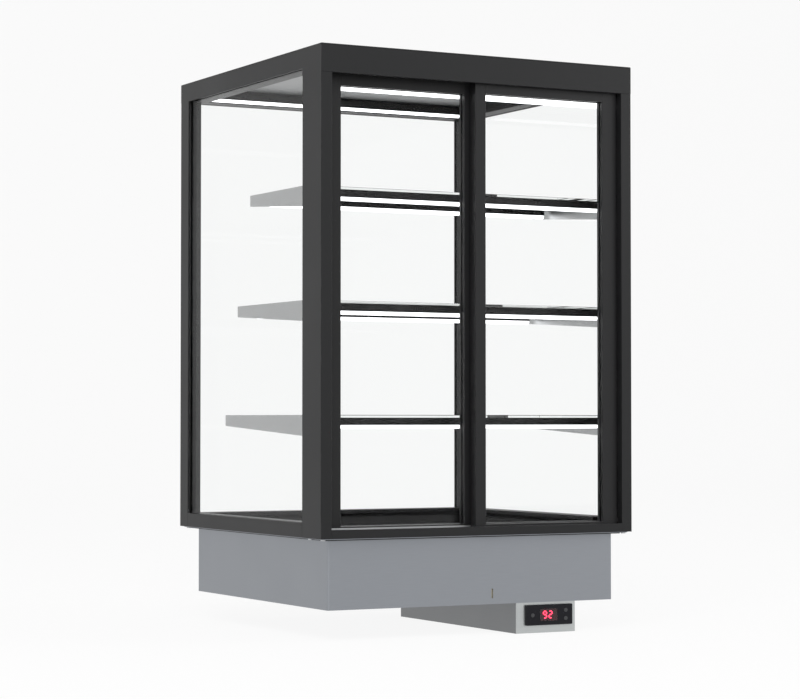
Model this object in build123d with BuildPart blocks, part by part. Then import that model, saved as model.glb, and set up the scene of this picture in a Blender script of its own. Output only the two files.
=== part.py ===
from build123d import *
import os

# Drop-in heated display case, seen from the operator's side along +Y, with +X to the right.
# The origin is the middle of the case's footprint on the counter top. All sizes are in mm.

# Case above the counter
case_width = 600.0
case_depth = 580.0
case_height = 810.0
edge_round = 0.8

# Tub that drops through the counter's cut-out, its walls set in from the case's outline
tub_inset = 25.0
tub_below_counter = 114.0
tub_corner = 4.0
tub_sheet = 1.5
flange_reach = 19.0
cutout_margin = 3.0
gasket_thickness = 2.0
gasket_width = 7.0
tub_slot_x = 35.0
tub_slot_z = -96.0
tub_slot_width = 3.0
tub_slot_height = 16.0

# Posts
post_width = 20.0
front_post_depth = 70.0
rear_post_width = 27.0
rear_post_depth = 35.0
post_wall = 2.5
post_solid_end = 22.0

# Base rails and the ledge that carries the deck
base_height = 28.0
sill_height = 18.0
base_rail_width = 36.0
ledge_width = 10.0
ledge_thickness = 4.0
deck_thickness = 4.0
deck_recess = 6.5
deck_clearance = 0.5

# Top rails, roof and ceiling
roof_thickness = 2.0
header_height = 45.0
top_rail_height = 32.0
top_rail_width = 40.0
rail_wall = 3.0
rail_floor = 12.0
ceiling_sheet = 1.2
ceiling_drop = 8.0
ceiling_clearance = 0.2

# Fixed glass in its rubber channels
glass_thickness = 5.0
glass_inset = 5.0
glass_arris = 0.5
seal_wall = 1.2
groove_depth = 8.0
groove_clearance = 0.05

# Heated deck
heater_thickness = 4.0
heater_margin = 4.0
top_insulation = 10.0
insulation_clearance = 0.5
probe_radius = 3.0
probe_length = 42.0
probe_slot_clearance = 0.3
probe_end_clearance = 1.0
probe_end_round = 1.8

# Door tracks
track_front_rib = 2.0
track_rib = 1.5
track_base = 2.0
track_wall_gap = 0.5
sill_front_wall = 8.0
sill_rear_wall = 16.0
sill_floor = 2.0
front_rib_drop = 0.5
rib_rise = 1.5
door_side_clearance = 0.5
top_rib_length = 25.0
header_web = 3.0

# Doors
door_depth = 18.0
door_overlap = 10.0
buffer_thickness = 2.7
buffer_clearance = 0.3
buffer_height = 8.0
outer_stile_width = 29.0
inner_stile_width = 20.0
stile_wall = 2.0
door_glass_thickness = 4.0
door_glass_grip = 7.0
door_glass_clearance = 0.15
door_floor_clearance = 2.0
door_lift = 10.5
door_bottom_rail = 12.0
door_top_rail = 32.5

# Door rollers, each with stub axles that run in the stile
roller_radius = 4.5
roller_width = 5.0
roller_journal_radius = 1.25
roller_journal_length = 2.5
journal_clearance = 0.05
roller_floor_clearance = 0.3
roller_side_clearance = 0.5
roller_inset = 7.0

# Lamps
lamp_depth = 14.0
front_lamp_height = 12.0
front_lamp_overlap = 4.0
front_lamp_end_gap = 4.0
rear_lamp_height = 12.0
rear_lamp_end_gap = 3.0
lamp_ceiling_gap = 6.0
diffuser_width = 11.0
front_diffuser_drop = 10.0
rear_diffuser_drop = 5.0
diffuser_round = 4.5

# Shelves, from the top one down. A shelf's level is the underside of its glass.
shelf_names = ("top", "middle", "bottom")
shelf_level = {"top": 580.0, "middle": 390.0, "bottom": 200.0}
shelf_rear_edge = {"top": 303.0, "middle": 355.0, "bottom": 406.0}
shelf_front_edge = 78.0
shelf_glass_thickness = 5.0
shelf_end_clearance = 1.0
shelf_bar_height = 12.0
shelf_bar_depth = 14.0
shelf_bar_wall = 1.5
shelf_bar_clearance = 0.5
rear_bar_from_edge = 46.0
shelf_diffuser_drop = 6.0
shelf_diffuser_grip = 2.0

# Shelf brackets
bracket_thickness = 3.0
bracket_post_offset = 2.5
bracket_tip_height = 19.0
bracket_root_height = 36.0
bracket_ledge_width = 10.0
bracket_ledge_thickness = 2.0
bracket_hook_depth = 9.0
bracket_hook_height = 10.0
hook_clearance = 0.2

# Control box under the tub
control_width = 117.0
control_left = 82.0
control_length = 415.0
control_height = 52.0
control_sheet = 1.2
control_plate = 1.5
control_flange = 12.0

# Controller in the box's front plate
fascia_width = 92.0
fascia_height = 35.0
fascia_thickness = 5.0
fascia_right_margin = 7.5
fascia_top_margin = 4.0
controller_body_width = 84.0
controller_body_height = 29.0
controller_body_depth = 55.0
cutout_clearance = 0.3
window_width = 34.0
window_height = 20.0
window_thickness = 1.4
window_pocket = 4.0
window_offset = -2.0
digit_width = 7.5
digit_height = 13.0
digit_stroke = 1.6
digit_pitch = 11.0
digit_thickness = 0.6
digit_slant_gap = 0.25
shown_digits = "92"

# Keys beside the window, each with its place from the fascia's middle
key_radius = 3.5
key_length = 3.8
key_proud = 0.8
key_travel = 1.0
key_clearance = 0.3
key_edge_round = 0.4
key_floor_clearance = 0.5
key_places = {"key_set": (-34.0, 0.0), "key_up": (32.0, 7.0), "key_down": (32.0, -7.0)}

# Wiring entry and terminals
gland_bore_radius = 4.3
gland_radius = 10.0
gland_cap_radius = 9.5
gland_nut_radius = 13.0
gland_nut_length = 6.0
gland_cap_length = 18.0
gland_x = 30.0
gland_thread_inside = 10.0
terminal_length = 60.0
terminal_width = 22.0
terminal_height = 17.0
terminal_pitch = 12.0
terminal_count = 4
terminal_screw_radius = 2.5
terminal_screw_depth = 5.0
terminal_from_rear = 90.0

# Screws
screw_radius = 2.4
screw_head_radius = 4.0
screw_hole_clearance = 0.1
base_screw_head = 1.8
base_screw_length = 16.0
frame_screw_head = 3.5
frame_screw_length = 50.0
screw_from_edge = 12.0
rear_screw_from_edge = 18.0

# Places worked out from the sizes above
half_width = case_width / 2
front_y = -case_depth / 2
rear_y = case_depth / 2
post_inner_x = half_width - post_width
rear_inner_x = half_width - rear_post_width
front_post_rear_y = front_y + front_post_depth
rear_post_front_y = rear_y - rear_post_depth
tub_width = case_width - 2 * tub_inset
tub_length = case_depth - 2 * tub_inset
flange_top = gasket_thickness + tub_sheet
rail_top = case_height - roof_thickness
header_bottom = rail_top - header_height
top_rail_bottom = rail_top - top_rail_height
base_inner_x = half_width - base_rail_width
deck_top = base_height - deck_recess
ledge_top = deck_top - deck_thickness
ledge_bottom = ledge_top - ledge_thickness
ledge_inner_x = base_inner_x - ledge_width
front_ledge_y = front_post_rear_y + ledge_width
rear_ledge_y = rear_post_front_y - ledge_width
tub_bottom = -tub_below_counter
tub_front_y = -tub_length / 2
glass_outer_x = half_width - glass_inset
glass_inner_x = glass_outer_x - glass_thickness
rear_glass_outer_y = rear_y - glass_inset
rear_glass_inner_y = rear_glass_outer_y - glass_thickness
seal_grip = seal_wall + groove_clearance
groove_outer_x = glass_outer_x + seal_grip
groove_inner_x = glass_inner_x - seal_grip
groove_rear_y = rear_glass_outer_y + seal_grip
groove_front_y = rear_glass_inner_y - seal_grip
glass_bottom_z = base_height - groove_depth + seal_wall
glass_top_z = top_rail_bottom + groove_depth - seal_wall
side_glass_front_y = front_post_rear_y - groove_depth + seal_wall
side_glass_rear_y = rear_post_front_y + groove_depth - seal_wall
rear_glass_edge_x = rear_inner_x + groove_depth - seal_wall
screw_x = half_width - post_width / 2
screw_places = [
    (side * screw_x, y)
    for side in (-1, 1)
    for y in (
        front_y + screw_from_edge,
        front_post_rear_y - screw_from_edge,
        rear_y - rear_screw_from_edge,
    )
]

# Door places. The right door runs in front of the left one, and the left one behind it.
track_front_y = front_y + sill_front_wall + track_wall_gap
front_door_y = track_front_y + track_front_rib + door_side_clearance
middle_rib_y = front_door_y + door_depth + door_side_clearance
rear_door_y = middle_rib_y + track_rib + door_side_clearance
rear_rib_y = rear_door_y + door_depth + door_side_clearance
track_rear_y = front_post_rear_y - sill_rear_wall - track_wall_gap
door_edge_x = post_inner_x - buffer_thickness - buffer_clearance
sill_floor_top = flange_top + sill_floor
track_floor_top = sill_floor_top + track_base
door_bottom_z = track_floor_top + door_floor_clearance
track_cavity_top = header_bottom + top_rib_length + track_base + door_floor_clearance
top_web_bottom = track_cavity_top - track_base
door_top_z = top_web_bottom - door_lift


def block(x_span, y_span, z_span, mode=Mode.ADD):
    """Add or cut a box between the low and high ends of three spans."""
    low = (min(x_span), min(y_span), min(z_span))
    high = (max(x_span), max(y_span), max(z_span))
    with Locations(low):
        Box(*(b - a for a, b in zip(low, high)), align=(Align.MIN,) * 3, mode=mode)


def patch(first_span, second_span, radius=0.0, mode=Mode.ADD):
    """Add or cut a rectangle between two spans of a sketch, with rounded corners if asked."""
    size = [max(s) - min(s) for s in (first_span, second_span)]
    with Locations((sum(first_span) / 2, sum(second_span) / 2)):
        if radius:
            RectangleRounded(*size, radius, mode=mode)
        else:
            Rectangle(*size, mode=mode)


def upright_hole(places, radius, z_span):
    """Cut one round hole along Z at each place."""
    with Locations(*[(x, y, min(z_span)) for x, y in places]):
        Cylinder(
            radius,
            max(z_span) - min(z_span),
            align=(Align.CENTER, Align.CENTER, Align.MIN),
            mode=Mode.SUBTRACT,
        )


def save(piece, name):
    """Label a finished piece and write it as its own file."""
    piece.part.label = name
    export_step(piece.part, f"parts/{name}.step")


os.makedirs("parts", exist_ok=True)

# Counter gasket: four foam strips between the tub's flange and the counter top
gasket_inner_x = tub_width / 2 + cutout_margin
gasket_inner_y = tub_length / 2 + cutout_margin
gasket_outer_x = gasket_inner_x + gasket_width
gasket_outer_y = gasket_inner_y + gasket_width
with BuildPart() as counter_gasket:
    for side in (-1, 1):
        block(
            (side * gasket_inner_x, side * gasket_outer_x),
            (-gasket_outer_y, gasket_outer_y),
            (0, gasket_thickness),
        )
        block(
            (-gasket_inner_x, gasket_inner_x),
            (side * gasket_inner_y, side * gasket_outer_y),
            (0, gasket_thickness),
        )
save(counter_gasket, "counter_gasket")

# Tub: a folded stainless pan with a flange that lies over the counter's cut-out
with BuildPart() as tub:
    with BuildSketch(Plane.XY.offset(tub_bottom)):
        RectangleRounded(tub_width, tub_length, tub_corner)
    extrude(amount=tub_below_counter + flange_top)
    with BuildSketch(Plane.XY.offset(gasket_thickness)):
        Rectangle(tub_width + 2 * flange_reach, tub_length + 2 * flange_reach)
    extrude(amount=tub_sheet)
    with BuildSketch(Plane.XY.offset(tub_bottom + tub_sheet)):
        RectangleRounded(
            tub_width - 2 * tub_sheet, tub_length - 2 * tub_sheet, tub_corner - tub_sheet
        )
    extrude(amount=tub_below_counter + flange_top, mode=Mode.SUBTRACT)
    block(
        (tub_slot_x - tub_slot_width / 2, tub_slot_x + tub_slot_width / 2),
        (tub_front_y, tub_front_y + tub_sheet),
        (tub_slot_z - tub_slot_height / 2, tub_slot_z + tub_slot_height / 2),
        mode=Mode.SUBTRACT,
    )
    upright_hole(screw_places, screw_radius + screw_hole_clearance, (0, flange_top))
save(tub, "tub")

# Insulation: two thick slabs of mineral wool in the tub and a thin one under the heater
slab_half_x = tub_width / 2 - tub_sheet - insulation_clearance
slab_half_y = tub_length / 2 - tub_sheet - insulation_clearance
slab_thickness = (flange_top - tub_bottom - tub_sheet) / 2
deck_half_x = base_inner_x - deck_clearance
deck_front_y = front_post_rear_y + deck_clearance
deck_rear_y = rear_post_front_y - deck_clearance
top_slab_bottom = ledge_bottom - top_insulation
probe_y = (front_post_rear_y + rear_post_front_y) / 2
with BuildPart() as insulation:
    for layer in range(2):
        with BuildSketch(Plane.XY.offset(tub_bottom + tub_sheet + layer * slab_thickness)):
            RectangleRounded(2 * slab_half_x, 2 * slab_half_y, tub_corner - tub_sheet)
        extrude(amount=slab_thickness)
    block((-deck_half_x, deck_half_x), (deck_front_y, deck_rear_y), (top_slab_bottom, ledge_bottom))
    block(
        (-probe_radius - probe_slot_clearance, probe_radius + probe_slot_clearance),
        (
            probe_y - probe_length / 2 - probe_end_clearance,
            probe_y + probe_length / 2 + probe_end_clearance,
        ),
        (ledge_bottom - 2 * probe_radius - probe_slot_clearance, ledge_bottom),
        mode=Mode.SUBTRACT,
    )
save(insulation, "insulation")

# Deck probe: the sensor capsule in a slot of the wool, just under the heater
with BuildPart() as deck_probe:
    with BuildSketch(Plane.XZ.offset(-(probe_y + probe_length / 2))):
        with Locations((0, ledge_bottom - probe_radius)):
            Circle(probe_radius)
    extrude(amount=probe_length)
    fillet(deck_probe.edges().filter_by(GeomType.CIRCLE), probe_end_round)
save(deck_probe, "deck_probe")

# Heater mat: the element bonded under the deck, inside the ledges
with BuildPart() as heater_mat:
    with BuildSketch(Plane.XY.offset(ledge_bottom)):
        patch(
            (-ledge_inner_x + heater_margin, ledge_inner_x - heater_margin),
            (front_ledge_y + heater_margin, rear_ledge_y - heater_margin),
            radius=heater_margin,
        )
    extrude(amount=heater_thickness)
save(heater_mat, "heater_mat")

# Deck: the black heated glass plate, dropped into the rebate of the base rails
with BuildPart() as deck_glass:
    block((-deck_half_x, deck_half_x), (deck_front_y, deck_rear_y), (ledge_top, deck_top))
    chamfer(deck_glass.faces().sort_by(Axis.Z)[-1].edges(), deck_clearance)
save(deck_glass, "deck_glass")

# Front base rail: a sill with a trough for the lower door track and a ledge for the deck
with BuildPart() as base_rail_front:
    with BuildSketch(Plane.YZ.offset(-post_inner_x)):
        patch((front_y, front_post_rear_y), (flange_top, sill_floor_top))
        patch((front_y, front_y + sill_front_wall), (flange_top, sill_height), radius=edge_round)
        patch((front_post_rear_y - sill_rear_wall, front_post_rear_y), (flange_top, deck_top))
        patch((front_post_rear_y - sill_rear_wall, front_ledge_y), (ledge_bottom, ledge_top))
    extrude(amount=2 * post_inner_x)
    for side in (-1, 1):
        block(
            (side * ledge_inner_x, side * post_inner_x),
            (front_post_rear_y, front_ledge_y),
            (flange_top, base_height),
            mode=Mode.SUBTRACT,
        )
save(base_rail_front, "base_rail_front")

# Rear base rail, between the rear posts, with a groove for the rear glass
with BuildPart() as base_rail_rear:
    with BuildSketch(Plane.YZ.offset(-rear_inner_x)):
        patch((rear_post_front_y, rear_y), (flange_top, base_height), radius=edge_round)
        patch((rear_ledge_y, rear_post_front_y + ledge_thickness), (ledge_bottom, ledge_top))
        patch(
            (groove_front_y, groove_rear_y),
            (base_height - groove_depth, base_height),
            mode=Mode.SUBTRACT,
        )
    extrude(amount=2 * rear_inner_x)
    for side in (-1, 1):
        block(
            (side * ledge_inner_x, side * rear_inner_x),
            (rear_ledge_y, rear_post_front_y),
            (flange_top, base_height),
            mode=Mode.SUBTRACT,
        )
save(base_rail_rear, "base_rail_rear")


def build_base_side(side, name):
    """One side base rail: a bar with a glass groove on top and a ledge for the deck inside."""
    with BuildPart() as rail:
        with BuildSketch(Plane.XZ.offset(-rear_post_front_y)):
            patch(
                (side * base_inner_x, side * half_width),
                (flange_top, base_height),
                radius=edge_round,
            )
            patch(
                (side * ledge_inner_x, side * (base_inner_x + ledge_thickness)),
                (ledge_bottom, ledge_top),
            )
            patch(
                (side * groove_inner_x, side * groove_outer_x),
                (base_height - groove_depth, base_height),
                mode=Mode.SUBTRACT,
            )
        extrude(amount=rear_post_front_y - front_post_rear_y)
    save(rail, name)


build_base_side(-1, "base_rail_left")
build_base_side(1, "base_rail_right")

# Shelf brackets hook into slots in the rear face of the front posts
bracket_inner_x = post_inner_x + bracket_post_offset
bracket_outer_x = bracket_inner_x + bracket_thickness


def bracket_top(shelf):
    """The top of a bracket, level with the top of its glass."""
    return shelf_level[shelf] + shelf_glass_thickness


def hook_span(shelf):
    """The low and high ends of a bracket's two hooks."""
    top = bracket_top(shelf)
    low = top - bracket_root_height
    return (low, low + bracket_hook_height), (top - bracket_hook_height, top)


def build_front_post(side, name):
    """An operator-side post: a hollow bar with screw ports, a glass groove and hook slots."""
    with BuildPart() as post:
        with BuildSketch(Plane.XY.offset(flange_top)):
            patch(
                (side * post_inner_x, side * half_width),
                (front_y, front_post_rear_y),
                radius=edge_round,
            )
            patch(
                (side * (post_inner_x + post_wall), side * (half_width - post_wall)),
                (front_y + post_solid_end, front_post_rear_y - post_solid_end),
                mode=Mode.SUBTRACT,
            )
            patch(
                (side * groove_inner_x, side * groove_outer_x),
                (front_post_rear_y - groove_depth, front_post_rear_y),
                mode=Mode.SUBTRACT,
            )
        extrude(amount=header_bottom - flange_top)
        upright_hole(
            [p for p in screw_places if p[0] * side > 0 and p[1] < 0],
            screw_radius + screw_hole_clearance,
            (flange_top, header_bottom),
        )
        for shelf in shelf_names:
            for low, high in hook_span(shelf):
                block(
                    (
                        side * (bracket_inner_x - hook_clearance),
                        side * (bracket_outer_x + hook_clearance),
                    ),
                    (front_post_rear_y - bracket_hook_depth - hook_clearance, front_post_rear_y),
                    (low - hook_clearance, high + hook_clearance),
                    mode=Mode.SUBTRACT,
                )
    save(post, name)


def build_rear_post(side, name):
    """A customer-side post: a slim bar with a groove for each of the two panes it holds."""
    with BuildPart() as post:
        with BuildSketch(Plane.XY.offset(flange_top)):
            patch(
                (side * rear_inner_x, side * half_width),
                (rear_post_front_y, rear_y),
                radius=edge_round,
            )
            patch(
                (side * groove_inner_x, side * groove_outer_x),
                (rear_post_front_y, rear_post_front_y + groove_depth),
                mode=Mode.SUBTRACT,
            )
            patch(
                (side * rear_inner_x, side * (rear_inner_x + groove_depth)),
                (groove_front_y, groove_rear_y),
                mode=Mode.SUBTRACT,
            )
        extrude(amount=top_rail_bottom - flange_top)
        upright_hole(
            [p for p in screw_places if p[0] * side > 0 and p[1] > 0],
            screw_radius + screw_hole_clearance,
            (flange_top, top_rail_bottom),
        )
    save(post, name)


build_front_post(-1, "post_front_left")
build_front_post(1, "post_front_right")
build_rear_post(-1, "post_rear_left")
build_rear_post(1, "post_rear_right")

# Header: the deep front rail over the doors, with the upper track's cavity underneath
header_floor = track_cavity_top + header_web
with BuildPart() as header_rail:
    with BuildSketch(Plane.YZ.offset(-half_width)):
        patch((front_y, front_post_rear_y), (header_bottom, rail_top), radius=edge_round)
    extrude(amount=case_width)
    block(
        (-half_width + rail_wall, half_width - rail_wall),
        (front_y + rail_wall, front_post_rear_y - rail_wall),
        (header_floor, rail_top),
        mode=Mode.SUBTRACT,
    )
    block(
        (-post_inner_x, post_inner_x),
        (front_y + sill_front_wall, front_post_rear_y - sill_rear_wall),
        (header_bottom, track_cavity_top),
        mode=Mode.SUBTRACT,
    )
    for side in (-1, 1):
        block(
            (side * groove_inner_x, side * groove_outer_x),
            (front_post_rear_y - groove_depth, front_post_rear_y),
            (header_bottom, top_rail_bottom + groove_depth),
            mode=Mode.SUBTRACT,
        )
    upright_hole(
        [p for p in screw_places if p[1] < 0],
        screw_radius + screw_hole_clearance,
        (header_bottom, header_floor),
    )
save(header_rail, "header_rail")

# Rear top rail: a trough closed by the roof, with the rear glass in its underside
top_rail_floor = top_rail_bottom + rail_floor
top_rail_inner_y = rear_y - top_rail_width
top_rail_inner_x = half_width - top_rail_width
with BuildPart() as top_rail_rear:
    with BuildSketch(Plane.YZ.offset(-half_width)):
        patch((top_rail_inner_y, rear_y), (top_rail_bottom, rail_top), radius=edge_round)
    extrude(amount=case_width)
    block(
        (-half_width + rail_wall, half_width - rail_wall),
        (top_rail_inner_y + rail_wall, rear_y - rail_wall),
        (top_rail_floor, rail_top),
        mode=Mode.SUBTRACT,
    )
    block(
        (-rear_inner_x - groove_depth, rear_inner_x + groove_depth),
        (groove_front_y, groove_rear_y),
        (top_rail_bottom, top_rail_bottom + groove_depth),
        mode=Mode.SUBTRACT,
    )
    for side in (-1, 1):
        block(
            (side * groove_inner_x, side * groove_outer_x),
            (top_rail_inner_y, rear_post_front_y + groove_depth),
            (top_rail_bottom, top_rail_bottom + groove_depth),
            mode=Mode.SUBTRACT,
        )
    upright_hole(
        [p for p in screw_places if p[1] > 0],
        screw_radius + screw_hole_clearance,
        (top_rail_bottom, top_rail_floor),
    )
save(top_rail_rear, "top_rail_rear")


def build_top_side(side, name):
    """One side top rail: a trough closed by the roof, with the side glass in its underside."""
    with BuildPart() as rail:
        with BuildSketch(Plane.XZ.offset(-top_rail_inner_y)):
            patch(
                (side * top_rail_inner_x, side * half_width),
                (top_rail_bottom, rail_top),
                radius=edge_round,
            )
            patch(
                (side * (top_rail_inner_x + rail_wall), side * (half_width - rail_wall)),
                (top_rail_floor, rail_top),
                mode=Mode.SUBTRACT,
            )
            patch(
                (side * groove_inner_x, side * groove_outer_x),
                (top_rail_bottom, top_rail_bottom + groove_depth),
                mode=Mode.SUBTRACT,
            )
        extrude(amount=top_rail_inner_y - front_post_rear_y)
    save(rail, name)


build_top_side(-1, "top_rail_left")
build_top_side(1, "top_rail_right")

# Roof: a flat sheet over the four top rails
with BuildPart() as roof_panel:
    with BuildSketch(Plane.XY.offset(rail_top)):
        Rectangle(case_width, case_depth)
    extrude(amount=roof_thickness)
    chamfer(roof_panel.faces().sort_by(Axis.Z)[-1].edges(), edge_round)
save(roof_panel, "roof_panel")

# Ceiling: a shallow pan, its rim turned up to the roof between the top rails
ceiling_half_x = top_rail_inner_x - ceiling_clearance
ceiling_front_y = front_post_rear_y + ceiling_clearance
ceiling_rear_y = top_rail_inner_y - ceiling_clearance
ceiling_bottom = rail_top - ceiling_drop
with BuildPart() as ceiling_panel:
    block(
        (-ceiling_half_x, ceiling_half_x),
        (ceiling_front_y, ceiling_rear_y),
        (ceiling_bottom, rail_top),
    )
    block(
        (-ceiling_half_x + ceiling_sheet, ceiling_half_x - ceiling_sheet),
        (ceiling_front_y + ceiling_sheet, ceiling_rear_y - ceiling_sheet),
        (ceiling_bottom + ceiling_sheet, rail_top),
        mode=Mode.SUBTRACT,
    )
save(ceiling_panel, "ceiling_panel")


def build_side_glass(side, name):
    """One side pane, its four edges in the rubber channels."""
    with BuildPart() as pane:
        block(
            (side * glass_inner_x, side * glass_outer_x),
            (side_glass_front_y, side_glass_rear_y),
            (glass_bottom_z, glass_top_z),
        )
        chamfer(pane.edges(), glass_arris)
    save(pane, name)


build_side_glass(-1, "side_glass_left")
build_side_glass(1, "side_glass_right")

# Rear glass: the customer-side pane
with BuildPart() as rear_glass:
    block(
        (-rear_glass_edge_x, rear_glass_edge_x),
        (rear_glass_inner_y, rear_glass_outer_y),
        (glass_bottom_z, glass_top_z),
    )
    chamfer(rear_glass.edges(), glass_arris)
save(rear_glass, "rear_glass")


def channel_z(middle, faces_y, edge, depth, z_span):
    """An upright rubber channel on a pane's edge. Middle is the pane's middle across it."""
    half = glass_thickness / 2 + seal_wall
    side = 1 if depth > 0 else -1
    if faces_y:
        block((middle - half, middle + half), (edge, edge + depth), z_span)
        block(
            (middle - glass_thickness / 2, middle + glass_thickness / 2),
            (edge + side * seal_wall, edge + depth),
            z_span,
            mode=Mode.SUBTRACT,
        )
    else:
        block((edge, edge + depth), (middle - half, middle + half), z_span)
        block(
            (edge + side * seal_wall, edge + depth),
            (middle - glass_thickness / 2, middle + glass_thickness / 2),
            z_span,
            mode=Mode.SUBTRACT,
        )


# Glass seals: U-shaped rubber channels in the grooves, level and upright, for the three panes
side_glass_x = (glass_inner_x + glass_outer_x) / 2
rear_glass_y = (rear_glass_inner_y + rear_glass_outer_y) / 2
seal_outer = glass_thickness / 2 + seal_wall
seal_low = base_height - groove_depth
seal_high = top_rail_bottom + groove_depth
seal_front_y = front_post_rear_y - groove_depth
seal_rear_y = rear_post_front_y + groove_depth
seal_edge_x = rear_inner_x + groove_depth
upright_seal = (base_height, top_rail_bottom)
with BuildPart() as glass_seals:
    for side in (-1, 1):
        middle_x = side * side_glass_x
        channel_z(middle_x, True, seal_front_y, groove_depth, upright_seal)
        channel_z(middle_x, True, seal_rear_y, -groove_depth, upright_seal)
        channel_z(rear_glass_y, False, side * seal_edge_x, -side * groove_depth, upright_seal)
        for outer_z, inner_z in (
            (seal_low, base_height),
            (seal_high, top_rail_bottom),
        ):
            step = seal_wall if inner_z > outer_z else -seal_wall
            block(
                (middle_x - seal_outer, middle_x + seal_outer),
                (front_post_rear_y, rear_post_front_y),
                (outer_z, inner_z),
            )
            block(
                (middle_x - glass_thickness / 2, middle_x + glass_thickness / 2),
                (front_post_rear_y, rear_post_front_y),
                (outer_z + step, inner_z),
                mode=Mode.SUBTRACT,
            )
    for outer_z, inner_z in ((seal_low, base_height), (seal_high, top_rail_bottom)):
        step = seal_wall if inner_z > outer_z else -seal_wall
        block(
            (-rear_inner_x, rear_inner_x),
            (rear_glass_y - seal_outer, rear_glass_y + seal_outer),
            (outer_z, inner_z),
        )
        block(
            (-rear_inner_x, rear_inner_x),
            (rear_glass_y - glass_thickness / 2, rear_glass_y + glass_thickness / 2),
            (outer_z + step, inner_z),
            mode=Mode.SUBTRACT,
        )
save(glass_seals, "glass_seals")

# Lower track: a double aluminium channel in the sill's trough. Its middle rib stands highest.
track_half_x = post_inner_x - track_wall_gap
low_rib_top = sill_height + rib_rise
with BuildPart() as bottom_track:
    with BuildSketch(Plane.YZ.offset(-track_half_x)):
        patch((track_front_y, track_rear_y), (sill_floor_top, track_floor_top))
        patch(
            (track_front_y, track_front_y + track_front_rib),
            (sill_floor_top, sill_height - front_rib_drop),
        )
        patch((middle_rib_y, middle_rib_y + track_rib), (sill_floor_top, low_rib_top))
        patch((rear_rib_y, track_rear_y), (sill_floor_top, low_rib_top))
    extrude(amount=2 * track_half_x)
save(bottom_track, "bottom_track")

# Upper track: the same double channel, turned over in the header and deeper
with BuildPart() as top_track:
    with BuildSketch(Plane.YZ.offset(-track_half_x)):
        rib_bottom = header_bottom + door_floor_clearance
        patch((track_front_y, track_rear_y), (top_web_bottom, track_cavity_top))
        patch((track_front_y, track_front_y + track_front_rib), (rib_bottom, track_cavity_top))
        patch((middle_rib_y, middle_rib_y + track_rib), (rib_bottom, track_cavity_top))
        patch((rear_rib_y, track_rear_y), (rib_bottom, track_cavity_top))
    extrude(amount=2 * track_half_x)
save(top_track, "top_track")

# Buffers: rubber pads on the posts where each door comes to its stop
with BuildPart() as track_buffers:
    for side in (-1, 1):
        for door_y in (front_door_y, rear_door_y):
            block(
                (side * (door_edge_x + buffer_clearance), side * post_inner_x),
                (door_y + stile_wall, door_y + door_depth - stile_wall),
                (low_rib_top + door_side_clearance, low_rib_top + buffer_height),
            )
save(track_buffers, "track_buffers")

# Lamp holders: aluminium bars along the header's back and under the ceiling's rear edge
front_lamp_length = 2 * (post_inner_x - front_lamp_end_gap)
rear_lamp_length = 2 * (top_rail_inner_x - rear_lamp_end_gap)
front_lamp_bottom = header_bottom + front_lamp_overlap - front_lamp_height
rear_lamp_top = ceiling_bottom - lamp_ceiling_gap
rear_lamp_bottom = rear_lamp_top - rear_lamp_height
with BuildPart() as lamp_holders:
    block(
        (-front_lamp_length / 2, front_lamp_length / 2),
        (front_post_rear_y, front_post_rear_y + lamp_depth),
        (front_lamp_bottom, front_lamp_bottom + front_lamp_height),
    )
    block(
        (-rear_lamp_length / 2, rear_lamp_length / 2),
        (top_rail_inner_y - lamp_depth, top_rail_inner_y),
        (rear_lamp_bottom, rear_lamp_top),
    )
save(lamp_holders, "lamp_holders")


def shelf_front_y(shelf):
    """The front face of a shelf, the same for all of them."""
    return front_y + shelf_front_edge


def shelf_rear_y(shelf):
    """The rear edge of a shelf. Lower shelves reach further back."""
    return front_y + shelf_rear_edge[shelf]


def shelf_bar_spans(shelf):
    """A shelf's two light bars: where each starts and ends along Y, and its half length."""
    front = shelf_front_y(shelf)
    rear = shelf_rear_y(shelf) - rear_bar_from_edge
    return (
        (front, front + shelf_bar_depth, shelf_half_x),
        (rear - shelf_bar_depth, rear, rear_bar_half_x),
    )


# Diffusers: opal covers with rounded lower edges, under the two lamps and the shelves' bars
shelf_half_x = bracket_inner_x - shelf_end_clearance
rear_bar_half_x = bracket_inner_x - bracket_ledge_width - shelf_bar_clearance
covers = [
    (
        front_lamp_length / 2,
        front_post_rear_y + lamp_depth / 2,
        front_lamp_bottom,
        front_lamp_bottom - front_diffuser_drop,
    ),
    (
        rear_lamp_length / 2,
        top_rail_inner_y - lamp_depth / 2,
        rear_lamp_bottom,
        rear_lamp_bottom - rear_diffuser_drop,
    ),
]
for shelf_name in shelf_names:
    bar_bottom = shelf_level[shelf_name] - shelf_bar_height
    for bar_front, bar_rear, half_length in shelf_bar_spans(shelf_name):
        covers.append(
            (
                half_length,
                (bar_front + bar_rear) / 2,
                bar_bottom + shelf_diffuser_grip,
                bar_bottom - shelf_diffuser_drop,
            )
        )
with BuildPart() as led_diffusers:
    for half_length, middle_y, cover_top, cover_bottom in covers:
        with BuildSketch(Plane.YZ.offset(-half_length)):
            patch(
                (middle_y - diffuser_width / 2, middle_y + diffuser_width / 2),
                (cover_bottom, cover_top),
            )
            fillet(vertices().group_by(Axis.Y)[0], diffuser_round)
        extrude(amount=2 * half_length)
save(led_diffusers, "led_diffusers")


def build_shelf_glass(shelf):
    """A clear shelf with polished edges, its ends on the brackets' ledges."""
    with BuildPart() as glass:
        block(
            (-shelf_half_x, shelf_half_x),
            (shelf_front_y(shelf), shelf_rear_y(shelf)),
            (shelf_level[shelf], bracket_top(shelf)),
        )
        chamfer(glass.edges(), glass_arris)
    save(glass, f"shelf_{shelf}_glass")


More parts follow.
